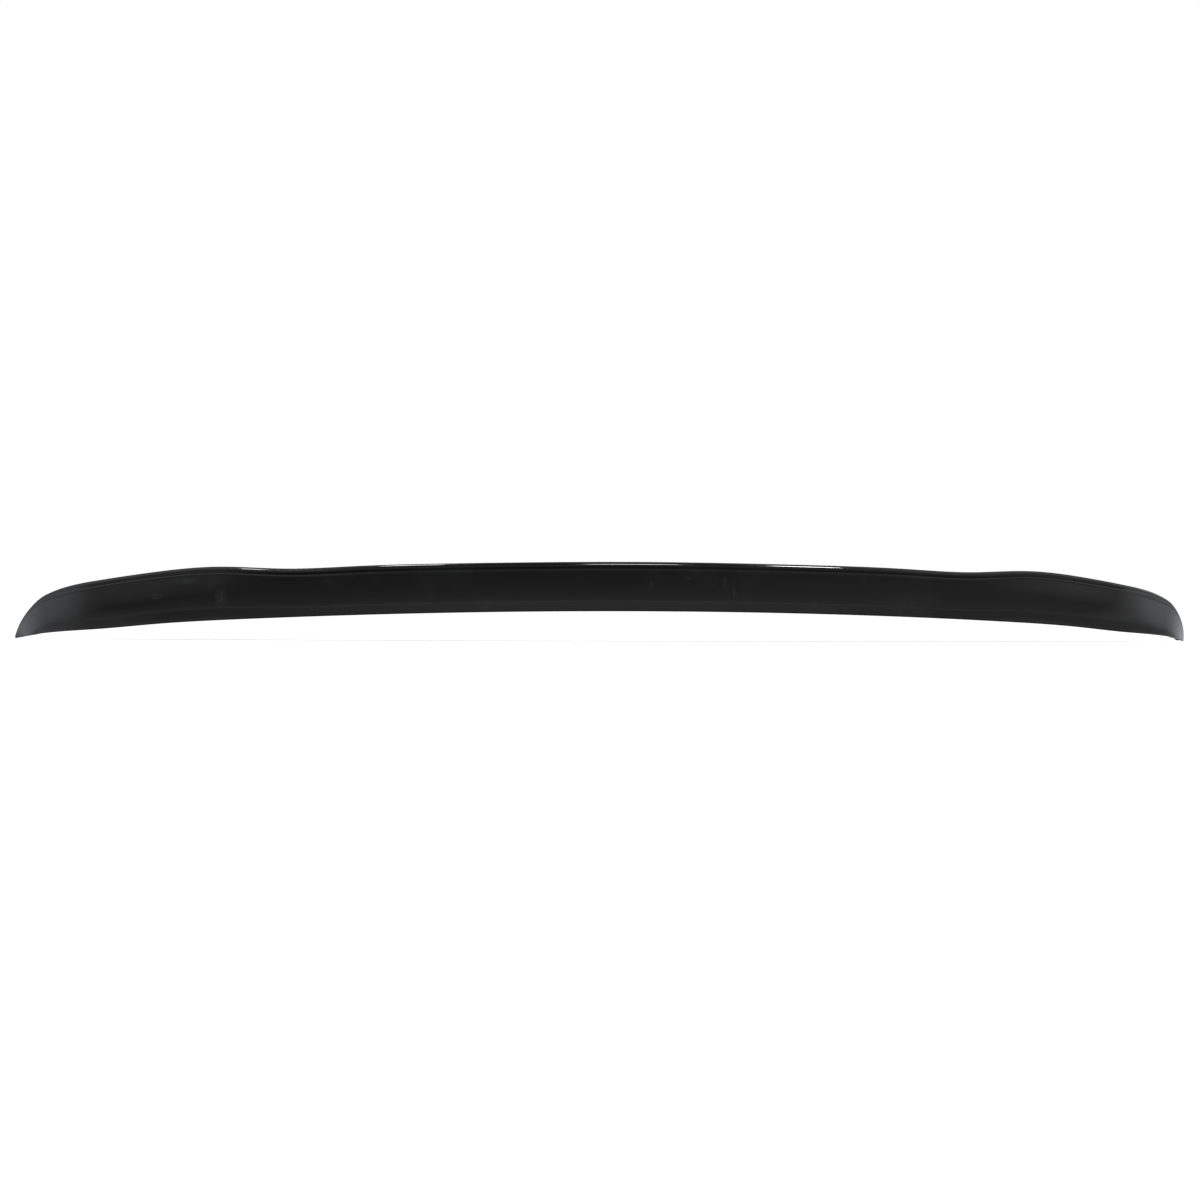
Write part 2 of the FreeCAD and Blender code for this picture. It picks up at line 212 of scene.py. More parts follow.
# %% Stations of the mesh
SWEEP_STEP = 4.5 * MM
WRAP_STEP = 1.1 * MM
CLOSE_BEFORE = 20 * MM


def smooth_curve(at, values, places):
    """Values at new places on the cubic curve through the given ones, straight at its two ends."""
    step = np.diff(at)
    slope = np.diff(values) / step
    system = np.eye(len(at))
    right = np.zeros(len(at))
    for i in range(1, len(at) - 1):
        system[i, i - 1:i + 2] = step[i - 1], 2 * (step[i - 1] + step[i]), step[i]
        right[i] = 6 * (slope[i] - slope[i - 1])
    bend = np.linalg.solve(system, right)
    i = np.clip(np.searchsorted(at, places) - 1, 0, len(step) - 1)
    before, after, h = places - at[i], at[i + 1] - places, step[i]
    cubic = (bend[i] * after ** 3 + bend[i + 1] * before ** 3) / (6 * h)
    from_first = (values[i] / h - bend[i] * h / 6) * after
    from_last = (values[i + 1] / h - bend[i + 1] * h / 6) * before
    return cubic + from_first + from_last


shoulder_length = PLAN_RADIUS * SHOULDER_HEADING
close_length = shoulder_length - CLOSE_BEFORE
core_length = wrap_section(CORE_END)["length"]
tip_length = right_half[-1]["length"]
half = np.concatenate([
    np.linspace(0, close_length, round(shoulder_length / SWEEP_STEP), endpoint=False),
    np.linspace(close_length, core_length, round((core_length - close_length) / WRAP_STEP)),
    np.linspace(core_length, tip_length, round((tip_length - core_length) / WRAP_STEP)),
])
lengths = np.concatenate([-half[:0:-1], half])
station = {key: smooth_curve(sections["length"], sizes, lengths) for key, sizes in sections.items()}
print(len(lengths), "stations from tip to tip")

# %% [markdown]
# Two things change along the row. The groove under the bead runs out softly where the ends turn.
# And the shell is hollow only up to the start of each tip. That station is there twice,
# once with the hollow and once with a solid section, so the faces between the two make the hollow's end wall.

# %% Groove and hollow along the row
RUN_OUT = 28 * MM
GROOVE_LEFT = 0.1

past_shoulder = np.clip((np.abs(lengths) - shoulder_length) / RUN_OUT, -1, 1)
station["groove"] *= between(1, GROOVE_LEFT, 0.5 + 0.5 * np.sin(0.5 * math.pi * past_shoulder))
doubled = np.isclose(np.abs(lengths), core_length)
hollow = (np.abs(lengths) < core_length) & ~doubled
hollow[np.where(doubled & (lengths < 0))[0][-1]] = True
hollow[np.where(doubled & (lengths > 0))[0][0]] = True
print(int(hollow.sum()), "of the stations are hollow")

# %% [markdown]
# One section, from the bottom edge up: a slightly hollow rear face, a fine groove, a round bead at the lip,
# and a skin that falls forward from the bead to a thin leading edge. Its points are worked out
# for all stations at once, with u running forward from the lip and v up from the bottom edge.
# The bead comes first, because the groove and the top of the face hang on it and get finer with it.

# %% Bead, groove and rear face
CROWN_RADIUS = 8300 * MM
BEAD_TURN = math.radians(34)
GROOVE_WIDTH = 2.7 * MM
GROOVE_SHARE = 0.55
LEDGE_SET = 0.9 * MM
FACE_LEAN = math.radians(5)
FACE_RADIUS = 130 * MM
BOTTOM_ROUND = 1.0 * MM

drop = CROWN_RADIUS - np.sqrt(CROWN_RADIUS ** 2 - station["across"] ** 2)
floor_z = -LID_RISE - drop - station["droop"]
taper = station["bead"] / MID_BEAD
bead_r = station["bead"] / 2
bead_v = station["height"] - bead_r
bead_centre = np.array([bead_r, bead_v])
tuck = np.array([bead_r * (1 - math.cos(BEAD_TURN)), bead_v - bead_r * math.sin(BEAD_TURN)])
ledge = np.array([LEDGE_SET * taper, tuck[1] - GROOVE_WIDTH * taper])
groove = np.array([ledge[0] + station["groove"] * taper, tuck[1] - GROOVE_SHARE * GROOVE_WIDTH * taper])

# The face is an arc between its two ends, with its centre behind the lip
edge = BOTTOM_ROUND * taper
foot_u = ledge[0] + ledge[1] * math.tan(FACE_LEAN)
face_du, face_dv = ledge[0] - foot_u, ledge[1] - edge
reach = np.sqrt(FACE_RADIUS ** 2 / (face_du ** 2 + face_dv ** 2) - 0.25)
face_centre = np.array([
    (ledge[0] + foot_u) / 2 - face_dv * reach,
    (ledge[1] + edge) / 2 + face_du * reach,
])


def on_face(radius, v):
    """Forward distance of an arc about the face's centre, at a height."""
    return face_centre[0] + np.sqrt(radius ** 2 - (v - face_centre[1]) ** 2)


foot = np.array([on_face(FACE_RADIUS, 0), np.zeros_like(taper)])
print(f"the lip is {station['height'].max() / MM:.1f} mm high at most,",
      f"with a bead of {station['bead'].max() / MM:.1f} mm")

# %% [markdown]
# The top skin is one hollow arc. It leaves the round bead without a kink, so the two circles touch there,
# and it ends at the leading edge, so its centre follows from those two conditions.
# Behind the leading edge lies a flat land for the bonding tape.
# From there the section turns back along the inside, a wall's thickness below the skin and the face.

# %% Skin, leading edge and inside
SKIN_RADIUS = 150 * MM
LEADING_EDGE = 2.2 * MM
WALL = 3 * MM
BEAD_ROOT = 3 * MM

lead_v = station["rise"] + LEADING_EDGE
skin_du, skin_dv = station["chord"] - bead_r, bead_v - lead_v
skin_reach = np.hypot(skin_du, skin_dv)
swing = np.arccos((skin_reach ** 2 + bead_r ** 2 + 2 * bead_r * SKIN_RADIUS)
                  / (2 * skin_reach * (SKIN_RADIUS + bead_r)))
skin_angle = swing - np.arctan(skin_dv / skin_du)
skin_way = np.array([np.cos(skin_angle), np.sin(skin_angle)])
skin_start = bead_centre + bead_r * skin_way
skin_centre = bead_centre + (SKIN_RADIUS + bead_r) * skin_way


def under_skin(radius, u):
    """Height of an arc about the skin's centre, at a forward distance."""
    return skin_centre[1] - np.sqrt(radius ** 2 - (u - skin_centre[0]) ** 2)


lead = np.array([station["chord"], lead_v])
nose = np.array([station["chord"], station["rise"]])
front_u = station["chord"] - LAND_WIDTH * np.minimum(1, station["chord"] / SHOULDER_CHORD)
front_low = np.array([front_u, station["rise"]])
front_top = np.array([front_u, under_skin(SKIN_RADIUS + WALL, front_u)])
roof_v = ledge[1] - BEAD_ROOT
# The slim tips have no hollow, and no roof under the skin, so the root is held at nought there
roof_square = (SKIN_RADIUS + WALL) ** 2 - (roof_v - skin_centre[1]) ** 2
roof_u = skin_centre[0] - np.sqrt(np.maximum(0, roof_square))
roof_front = np.array([roof_u, roof_v])
roof_back = np.array([on_face(FACE_RADIUS + WALL, roof_v), roof_v])
rim = np.array([on_face(FACE_RADIUS + WALL, 0), np.zeros_like(taper)])
print(f"the skin is {skin_reach.max() / MM:.0f} mm wide at most, over a wall of {WALL / MM:.0f} mm")

# %% [markdown]
# The outline of a section is a list of stretches, straight or round, with a corner after each.
# On a moulding no edge is truly sharp, and a gloss edge shows as a fine bright line.
# So every corner is rounded, by an amount that a mould maker would give it.
# Points lie closer near the ends of a stretch than in its middle, so that the small roundings
# and the wide faces next to them meet in quads of about the same size.

# %% Stretches of an outline and the corners between them
CORNER_STEPS = np.array([0.2, 0.4, 0.6, 0.8])
# A rounding takes at most these shares of the stretch before its corner and of the one after it
LEAVE_SHARE, JOIN_SHARE = 0.4, 0.6


class Stretch:
    """One side of the outline, for all stations at once, with the rounding of the corner at its end."""

    def __init__(self, start, end, count, corner, centre=None):
        self.start, self.end, self.count = start, end, count
        self.corner = corner if isinstance(corner, tuple) else (corner, corner)
        self.centre = centre
        if centre is None:
            self.length = np.hypot(*(end - start))
        else:
            first, last = (np.arctan2(*(p - centre)[::-1]) for p in (start, end))
            self.angle = first
            self.turn = (last - first + math.pi) % (2 * math.pi) - math.pi
            self.radius = np.hypot(*(start - centre))
            self.length = np.abs(self.turn) * self.radius

    def point(self, share):
        if self.centre is None:
            return self.start + share * (self.end - self.start)
        angle = self.angle + share * self.turn
        return self.centre + self.radius * np.array([np.cos(angle), np.sin(angle)])


def outline(stretches):
    """Points round a section, as an array of (point, u or v, station), and the number after each stretch."""
    followers = stretches[1:] + stretches[:1]
    leaves = [np.minimum(side.corner[0], LEAVE_SHARE * side.length) for side in stretches]
    joins = [
        np.minimum(side.corner[1], JOIN_SHARE * after.length)
        for side, after in zip(stretches, followers)
    ]
    points, counts = [], []
    for i, (side, after) in enumerate(zip(stretches, followers)):
        first = joins[i - 1] / side.length
        last = 1 - leaves[i] / side.length
        for k in range(side.count):
            ease = 0.5 - 0.5 * math.cos(math.pi * k / (side.count - 1))
            points.append(side.point(between(first, last, ease)))
        if np.max(side.corner[0]) > 0:
            leave, join = side.point(last), after.point(joins[i] / after.length)
            for t in CORNER_STEPS:
                points.append((1 - t) ** 2 * leave + 2 * t * (1 - t) * side.end + t * t * join)
        else:
            points.pop()
        counts.append(len(points))
    return np.array(points), counts


print(len(CORNER_STEPS), "points on each rounded corner")

# %% [markdown]
# The outside has the same stretches everywhere. The other side is made twice: once with the shell's hollow,
# and once solid, as in the tips, where the underside is a plain slope from the land down to the bottom edge.
# Both have the same number of points, so that one mesh can change from the one to the other.

# %% Outlines of the hollow and the solid sections
LEDGE_ROUND = (2.0 * MM, 1.0 * MM)
GROOVE_ROUND = 0.5 * MM
TUCK_ROUND = 0.25 * MM
NOSE_ROUND = 0.8 * MM
LAND_ROUND = 0.4 * MM
INNER_ROUND = 1.5 * MM
EDGE_POINTS = 3
FACE_POINTS = 26
BEAD_POINTS = 26
SKIN_POINTS = 32
LAND_POINTS = 5
FRONT_POINTS = 4
INNER_SKIN_POINTS = 18
INNER_FACE_POINTS = 16
# Knees of the solid underside: shares of the way back from the nose, and of the height of the land
SLOPE_KNEES = ((0.3, 1.0), (0.6, 1.0), (0.75, 0.3), (0.85, 0.0), (0.92, 0.0))

outside = [
    Stretch(foot, ledge, FACE_POINTS, (LEDGE_ROUND[0] * taper, LEDGE_ROUND[1] * taper), face_centre),
    Stretch(ledge, groove, EDGE_POINTS, GROOVE_ROUND * taper),
    Stretch(groove, tuck, EDGE_POINTS, TUCK_ROUND * taper),
    Stretch(tuck, skin_start, BEAD_POINTS, 0.0, bead_centre),
    Stretch(skin_start, lead, SKIN_POINTS, NOSE_ROUND * taper, skin_centre),
    Stretch(lead, nose, EDGE_POINTS, NOSE_ROUND * taper),
]
hollow_side = [
    Stretch(nose, front_low, LAND_POINTS, LAND_ROUND),
    Stretch(front_low, front_top, FRONT_POINTS, INNER_ROUND),
    Stretch(front_top, roof_front, INNER_SKIN_POINTS, INNER_ROUND, skin_centre),
    Stretch(roof_front, roof_back, EDGE_POINTS, INNER_ROUND),
    Stretch(roof_back, rim, INNER_FACE_POINTS, LAND_ROUND, face_centre),
    Stretch(rim, foot, EDGE_POINTS, edge),
]
slope = [
    np.array([between(station["chord"], foot[0], share), height * station["rise"]])
    for share, height in SLOPE_KNEES
]
knee_rounds = [LAND_ROUND * taper] * len(slope) + [edge]
solid_side = [
    Stretch(start, end, side.count, corner)
    for start, end, side, corner in zip([nose] + slope, slope + [foot], hollow_side, knee_rounds)
]
ring_hollow, counts = outline(outside + hollow_side)
ring_solid, _ = outline(outside + solid_side)
ring = np.where(hollow, ring_hollow, ring_solid)
# The inside runs from the corner behind the land to the corner at the rim
INSIDE_START = counts[len(outside)] - len(CORNER_STEPS)
INSIDE_END = counts[-2] - len(CORNER_STEPS)
print(len(ring), "points round each section")

# %% [markdown]
# The tips are closed by a few more rows of points, which shrink in a quarter circle.
# That leaves them softly rounded, as the end of a slim moulding is.

# %% Rows of points from tip to tip
TIP_ROUND = 1.6 * MM
TIP_ROWS = 6


def to_world(uv):
    """Places of section points, as an array of (station, point, xyz)."""
    u, v = uv[:, 0], uv[:, 1]
    place = np.array([
        station["across"] - u * np.sin(station["heading"]),
        station["along"] + u * np.cos(station["heading"]),
        floor_z + v,
    ])
    return place.transpose(2, 1, 0)


def tip_rows(last, way):
    """Rows that close a tip, each smaller and further out than the one before."""
    middle = last.mean(axis=0)
    closing = []
    for k in range(1, TIP_ROWS + 1):
        angle = 0.5 * math.pi * k / TIP_ROWS
        closing.append(middle + (last - middle) * math.cos(angle) + way * TIP_ROUND * math.sin(angle))
    closing[-1][:] = middle + way * TIP_ROUND
    return closing


rows = to_world(ring)
end_way = np.array([math.cos(WRAP_HEADING), math.sin(WRAP_HEADING), 0])
right_tip = tip_rows(rows[-1], end_way)
left_tip = tip_rows(rows[0], end_way * (-1, 1, 1))
rows = np.concatenate([left_tip[::-1], rows, right_tip])
station_count, point_count = rows.shape[:2]
print(station_count, "rows of", point_count, "points")

# %% [markdown]
# The skin starts as a grid: a flat sheet of squares, a row for each station and a column for each point.
# Bending such a sheet by hand would take many steps, so here each of its points goes straight to its place.
# The faces that the mould's core makes are marked by their columns, for the second finish.
# Last, the two long edges of the sheet, which now lie on each other, are merged, and all faces turned out.

# %% Wrap a grid round the sections
MERGE_DISTANCE = 0.001 * MM
GLOSS, INSIDE = 0, 1

bpy.ops.object.select_all(action="DESELECT")
bpy.ops.mesh.primitive_grid_add(x_subdivisions=station_count - 1, y_subdivisions=point_count, size=1)
shell = bpy.context.object
shell.name = "spoiler_moulding"
flat_places = np.zeros(len(shell.data.vertices) * 3)
shell.data.vertices.foreach_get("co", flat_places)
shares = flat_places.reshape(-1, 3) + 0.5
row = np.rint(shares[:, 0] * (station_count - 1)).astype(int)
column = np.rint(shares[:, 1] * point_count).astype(int)
shell.data.vertices.foreach_set("co", rows[row, column % point_count].ravel())

face_column = np.array([min(column[list(face.vertices)]) for face in shell.data.polygons])
inside = (face_column >= INSIDE_START) & (face_column < INSIDE_END)
shell.data.polygons.foreach_set("material_index", np.where(inside, INSIDE, GLOSS).astype(np.int32))
shell.data.update()

bpy.ops.object.mode_set(mode="EDIT")
bpy.ops.mesh.select_all(action="SELECT")
bpy.ops.mesh.remove_doubles(threshold=MERGE_DISTANCE)
bpy.ops.mesh.dissolve_degenerate(threshold=MERGE_DISTANCE)
bpy.ops.mesh.select_all(action="SELECT")
bpy.ops.mesh.normals_make_consistent(inside=False)
bpy.ops.object.mode_set(mode="OBJECT")
print(len(shell.data.polygons), "faces on the shell,", int(inside.sum()), "of the grid's on the inside")

# %% [markdown]
# Under the skin, thin cross ribs tie the rear face to the top and keep the long shell from twisting.
# Each is one flat polygon in the shape of the hollow, pulled out to its thickness by an extrude.
# Its edge reaches a little into the walls, so that a Boolean union can make shell and ribs one moulding.

# %% Cross ribs in the hollow
RIBS_PER_SIDE = 5
RIB_PITCH = 110 * MM
RIB_THICKNESS = 1.8 * MM
RIB_CLEARANCE = 4 * MM
RIB_BITE = 0.8 * MM
RIB_SKIN_POINTS = 14
RIB_FACE_POINTS = 8


def rib_outline(i):
    """Corners of a rib at a station: along the skin, then down the face, and straight across the bottom."""
    low = LID_RISE + RIB_CLEARANCE + station["droop"][i]
    roof = roof_v[i] + RIB_BITE
    skin_r, face_r = SKIN_RADIUS + WALL - RIB_BITE, FACE_RADIUS + WALL - RIB_BITE
    (skin_u, skin_v), (face_u, face_v) = skin_centre[:, i], face_centre[:, i]
    skin_low = skin_u - math.sqrt(skin_r ** 2 - (low - skin_v) ** 2)
    skin_low = min(skin_low, front_u[i] + RIB_BITE)
    skin_top = skin_u - math.sqrt(skin_r ** 2 - (roof - skin_v) ** 2)
    along_skin = np.linspace(skin_low, skin_top, RIB_SKIN_POINTS)
    down_face = np.linspace(roof, low, RIB_FACE_POINTS)
    corners = [(u, skin_v - math.sqrt(skin_r ** 2 - (u - skin_u) ** 2)) for u in along_skin]
    corners += [(face_u + math.sqrt(face_r ** 2 - (v - face_v) ** 2), v) for v in down_face]
    if corners[0][1] > low + RIB_BITE:
        corners.insert(0, (skin_low, low))
    return corners


def add_rib(i, number):
    """One rib at a station, as a thin plate square to the lip."""
    corners = rib_outline(i)
    heading = station["heading"][i]
    way = Vector((math.cos(heading), math.sin(heading), 0))
    bpy.ops.object.select_all(action="DESELECT")
    bpy.ops.mesh.primitive_circle_add(vertices=len(corners), fill_type="NGON", radius=1)
    plate = bpy.context.object
    plate.name = f"cross_rib_{number}"
    for vertex, (u, v) in zip(plate.data.vertices, corners):
        x = station["across"][i] - u * math.sin(heading)
        y = station["along"][i] + u * math.cos(heading)
        vertex.co = Vector((x, y, floor_z[i] + v)) - way * RIB_THICKNESS / 2
    bpy.ops.object.mode_set(mode="EDIT")
    bpy.ops.mesh.select_all(action="SELECT")
    bpy.ops.mesh.extrude_region_move(TRANSFORM_OT_translate={"value": way * RIB_THICKNESS})
    bpy.ops.mesh.select_all(action="SELECT")
    bpy.ops.mesh.normals_make_consistent(inside=False)
    bpy.ops.object.mode_set(mode="OBJECT")
    return plate


rib_lengths = [
    side * PLAN_RADIUS * math.asin((k + 0.5) * RIB_PITCH / PLAN_RADIUS)
    for side in (-1, 1) for k in range(RIBS_PER_SIDE)
]
ribs = [add_rib(int(np.argmin(np.abs(lengths - at))), n + 1) for n, at in enumerate(rib_lengths)]
bpy.ops.object.select_all(action="DESELECT")
for plate in ribs:
    plate.select_set(True)
bpy.context.view_layer.objects.active = ribs[0]
bpy.ops.object.join()
rib_set = bpy.context.object
print(len(rib_lengths), "ribs,", len(rib_set.data.polygons), "faces")

# %% [markdown]
# Gloss black ABS: the outside comes from a polished mould, so it mirrors the room in a colourless gloss.
# Nearly all that the eye sees on it is reflection, and the plastic below is a neutral, very dark grey.
# A moulded face is never quite flat: it has a faint, wide waviness, which bends reflections a little.
# Handling leaves dull, slightly paler smears, so a faint haze and a few soft, streaky patches are drawn too.

# %% Finish of the outside
ABS_IOR = 1.54
ABS_BLACK = "#0b0b0c"
SMEAR_GREY = "#2a2c2d"
GLOSS_ROUGHNESS = 0.045
SMEAR_ROUGHNESS = 0.3
WAVE_WIDTH = 14 * MM
WAVE_DEPTH = 0.006 * MM
HAZE_WIDTH = 45 * MM
HAZE_NOISE = (0.56, 0.8)
HAZE_MOST = 0.5
STREAK_WIDTH = 5 * MM
STREAK_NOISE = (0.3, 0.7)
STREAK_LEVELS = (0.2, 0.9)
# Smears on the rear face, in millimetres: across, height, half width and half height; each fades at its edge
SMEARS = (
    (-481, -6, 7, 4),
    (-452, 10, 16, 6),
    (-417, -6, 9, 14),
    (12, 7, 3, 6),
    (49, 15, 5, 3),
    (88, 10, 3, 8),
    (98, 0, 2, 6),
)
SMEAR_EDGE = (1.0, 0.2)


def linear(hex_colour):
    """Scene-linear colour from an sRGB hex value."""
    channels = [int(hex_colour[i:i + 2], 16) / 255 for i in (1, 3, 5)]
    return tuple(c / 12.92 if c <= 0.04045 else ((c + 0.055) / 1.055) ** 2.4 for c in channels) + (1.0,)


def add_node(tree, kind, inputs=(), **settings):
    """Add a node with its settings; inputs, by name or in order, are values, sockets or nodes to link."""
    node = tree.nodes.new(kind)
    for name, value in settings.items():
        setattr(node, name, value)
    named = inputs.items() if isinstance(inputs, dict) else enumerate(inputs)
    for name, value in named:
        if isinstance(value, bpy.types.Node):
            value = value.outputs[0]
        if isinstance(value, bpy.types.NodeSocket):
            tree.links.new(value, node.inputs[name])
        else:
            node.inputs[name].default_value = value
    return node


def new_material(name):
    material = bpy.data.materials.new(name)
    material.use_nodes = True
    material.node_tree.nodes.clear()
    return material, material.node_tree


def gloss_black_abs():
    """Black plastic from a polished mould, faintly wavy, with a thin haze and a few dull smears."""
    material, tree = new_material("gloss_black_abs")
    place = add_node(tree, "ShaderNodeTexCoord").outputs["Object"]
    haze = add_node(tree, "ShaderNodeTexNoise", {"Vector": place, "Scale": 1 / HAZE_WIDTH, "Detail": 5.0})
    smear = add_node(tree, "ShaderNodeMapRange", (haze, *HAZE_NOISE, 0.0, HAZE_MOST))
    streak = add_node(tree, "ShaderNodeTexNoise", {"Vector": place, "Scale": 1 / STREAK_WIDTH, "Detail": 3.0})
    streak = add_node(tree, "ShaderNodeMapRange", (streak, *STREAK_NOISE, *STREAK_LEVELS),
                      interpolation_type="SMOOTHSTEP")
    for across, height, wide, high in SMEARS:
        middle = (across * MM, 0, height * MM)
        per_half = (1 / (wide * MM), 0, 1 / (high * MM))
        shift = add_node(tree, "ShaderNodeVectorMath", (place, middle), operation="SUBTRACT")
        shift = add_node(tree, "ShaderNodeVectorMath", (shift, per_half), operation="MULTIPLY")
        off = add_node(tree, "ShaderNodeVectorMath", (shift,), operation="LENGTH").outputs["Value"]
        spot = add_node(tree, "ShaderNodeMapRange", (off, *SMEAR_EDGE), interpolation_type="SMOOTHSTEP")
        spot = add_node(tree, "ShaderNodeMath", (spot, streak), operation="MULTIPLY")
        smear = add_node(tree, "ShaderNodeMath", (smear, spot), operation="MAXIMUM")
    colour = add_node(tree, "ShaderNodeMix", {
        "Factor": smear, "A": linear(ABS_BLACK), "B": linear(SMEAR_GREY)}, data_type="RGBA")
    rough = add_node(tree, "ShaderNodeMapRange", (smear, 0.0, 1.0, GLOSS_ROUGHNESS, SMEAR_ROUGHNESS))
    wave = add_node(tree, "ShaderNodeTexNoise", {"Vector": place, "Scale": 1 / WAVE_WIDTH, "Detail": 1.0})
    bump = add_node(tree, "ShaderNodeBump", {"Height": wave, "Distance": WAVE_DEPTH})
    shader = add_node(tree, "ShaderNodeBsdfPrincipled", {
        "Base Color": colour.outputs["Result"], "Roughness": rough, "IOR": ABS_IOR, "Normal": bump})
    add_node(tree, "ShaderNodeOutputMaterial", {"Surface": shader})
    return material


gloss = gloss_black_abs()
print(gloss.name, "has", len(gloss.node_tree.nodes), "nodes")

# %% [markdown]
# The inside is the same plastic from the mould's core side, which isn't polished: a dull, fine-pitted black.
# One noise sets both the bump and the roughness, so that the sheen changes with the grain of the pits.

# %% Finish of the inside
CORE_BLACK = "#19191b"
CORE_ROUGHNESS = (0.4, 0.6)
PIT_WIDTH = 0.8 * MM
PIT_DEPTH = 0.03 * MM


def core_side_abs():
    """Black plastic from the unpolished core side of the mould."""
    material, tree = new_material("core_side_abs")
    place = add_node(tree, "ShaderNodeTexCoord").outputs["Object"]
    pits = add_node(tree, "ShaderNodeTexNoise", {"Vector": place, "Scale": 1 / PIT_WIDTH, "Detail": 2.0})
    rough = add_node(tree, "ShaderNodeMapRange", (pits, 0.0, 1.0, *CORE_ROUGHNESS))
    bump = add_node(tree, "ShaderNodeBump", {"Height": pits, "Distance": PIT_DEPTH})
    shader = add_node(tree, "ShaderNodeBsdfPrincipled", {
        "Base Color": linear(CORE_BLACK), "Roughness": rough, "IOR": ABS_IOR, "Normal": bump})
    add_node(tree, "ShaderNodeOutputMaterial", {"Surface": shader})
    return material


dull = core_side_abs()
for piece in (shell, rib_set):
    piece.data.materials.append(gloss)
    piece.data.materials.append(dull)
rib_set.data.polygons.foreach_set("material_index", [INSIDE] * len(rib_set.data.polygons))
print(dull.name, "has", len(dull.node_tree.nodes), "nodes")

# %% [markdown]
# Shell and ribs leave the mould as one piece, so they become one mesh here too.
# A Boolean union does that and cuts away the rib edges inside the walls, where joining alone would keep them.
# Then the faces are shaded smooth, with sharp breaks only at the ribs and at the hollow's two end walls.
# The finished piece rides on the part's only body and stands for its only solid.

# %% Join the ribs to the shell
NODE = "spoiler_shell"
SMOOTH_ANGLE = math.radians(40)

bpy.ops.object.select_all(action="DESELECT")
bpy.context.view_layer.objects.active = shell
shell.select_set(True)
union = shell.modifiers.new("ribs", "BOOLEAN")
union.operation = "UNION"
union.solver = "EXACT"
union.object = rib_set
bpy.ops.object.modifier_apply(modifier=union.name)
bpy.data.objects.remove(rib_set)
bpy.ops.object.shade_smooth_by_angle(angle=SMOOTH_ANGLE)
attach(shell, "root")
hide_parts(NODE)
print(shell.name, "has", len(shell.data.polygons), "faces and", len(shell.data.vertices), "points")

# %% [markdown]
# The picture was taken from behind and a little to the left, level with the part, through a long lens.
# The camera stands where that view puts it: its bearing and distance are from the middle of the lip.
# It aims a little to the left of the lip's middle and leans by a quarter of a degree, as the picture does.

# %% Camera
CAMERA_BEARING = math.radians(10.06)
CAMERA_DISTANCE = 4296 * MM
CAMERA_BELOW_LIP = 38.6 * MM
CAMERA_AIM_LEFT = math.radians(0.543)
CAMERA_ROLL = math.radians(0.239)
CAMERA_REACH = 50
IMAGE_SIDE = 1200
FOCAL_PIXELS = 4260
SENSOR = 36.0

lip_middle = Vector((0, LIP, MID_HEIGHT - LID_RISE))
back = Vector((-math.sin(CAMERA_BEARING), -math.cos(CAMERA_BEARING), 0))
view_way = CAMERA_BEARING - CAMERA_AIM_LEFT
camera = bpy.data.objects.new("camera", bpy.data.cameras.new("camera"))
bpy.context.scene.collection.objects.link(camera)
camera.data.sensor_width = SENSOR
camera.data.lens = FOCAL_PIXELS * SENSOR / IMAGE_SIDE
camera.data.clip_end = CAMERA_REACH
camera.location = lip_middle + back * CAMERA_DISTANCE - Vector((0, 0, CAMERA_BELOW_LIP))
camera.rotation_euler = (math.pi / 2, -CAMERA_ROLL, -view_way)
bpy.context.scene.camera = camera
print("camera at", tuple(round(c, 3) for c in camera.location))

# %% [markdown]
# The room is white, for the eye and for the gloss alike, and gives a quieter light to everything else.
# A node tells which kind of ray asks, so one world can give both.

# %% White room
WHITE = linear("#ffffff")
ROOM_LIGHT = 0.45


def white_to_the_eye(tree):
    """One for rays from the camera, a mirror or glass, nought for the light that falls on things."""
    rays = add_node(tree, "ShaderNodeLightPath").outputs
    eye_or_mirror = rays["Is Camera Ray"], rays["Is Glossy Ray"]
    seen = add_node(tree, "ShaderNodeMath", eye_or_mirror, operation="MAXIMUM")
    return add_node(tree, "ShaderNodeMath", (seen, rays["Is Transmission Ray"]), operation="MAXIMUM")


world = bpy.data.worlds.new("white_room")
bpy.context.scene.world = world
world.use_nodes = True
room = world.node_tree
room.nodes.clear()
lit = add_node(room, "ShaderNodeBackground", {"Color": WHITE, "Strength": ROOM_LIGHT})
seen = add_node(room, "ShaderNodeBackground", {"Color": WHITE, "Strength": 1.0})
mix = add_node(room, "ShaderNodeMixShader", (white_to_the_eye(room), lit, seen))
add_node(room, "ShaderNodeOutputWorld", {"Surface": mix})
print(world.name, "has", len(room.nodes), "nodes")

# %% [markdown]
# A pale floor lies just under the tips and takes the part's soft shadow.
# It glows a little for the eye, so that it melts into the white of the room.

# %% Pale floor
FLOOR_SIZE = 40
FLOOR_GAP = 0.3 * MM
FLOOR_GLOW = 0.62
FLOOR_WHITE = "#f4f4f4"
floor_level = cad_box[0].z - FLOOR_GAP


def pale_floor():
    """White paper that the eye sees a little brighter than it is lit."""
    material, tree = new_material("pale_floor")
    paper = add_node(tree, "ShaderNodeBsdfDiffuse", {"Color": linear(FLOOR_WHITE)})
    glow = add_node(tree, "ShaderNodeMath", (white_to_the_eye(tree), FLOOR_GLOW), operation="MULTIPLY")
    glow = add_node(tree, "ShaderNodeEmission", {"Strength": glow})
    both = add_node(tree, "ShaderNodeAddShader", (paper, glow))
    add_node(tree, "ShaderNodeOutputMaterial", {"Surface": both})
    return material


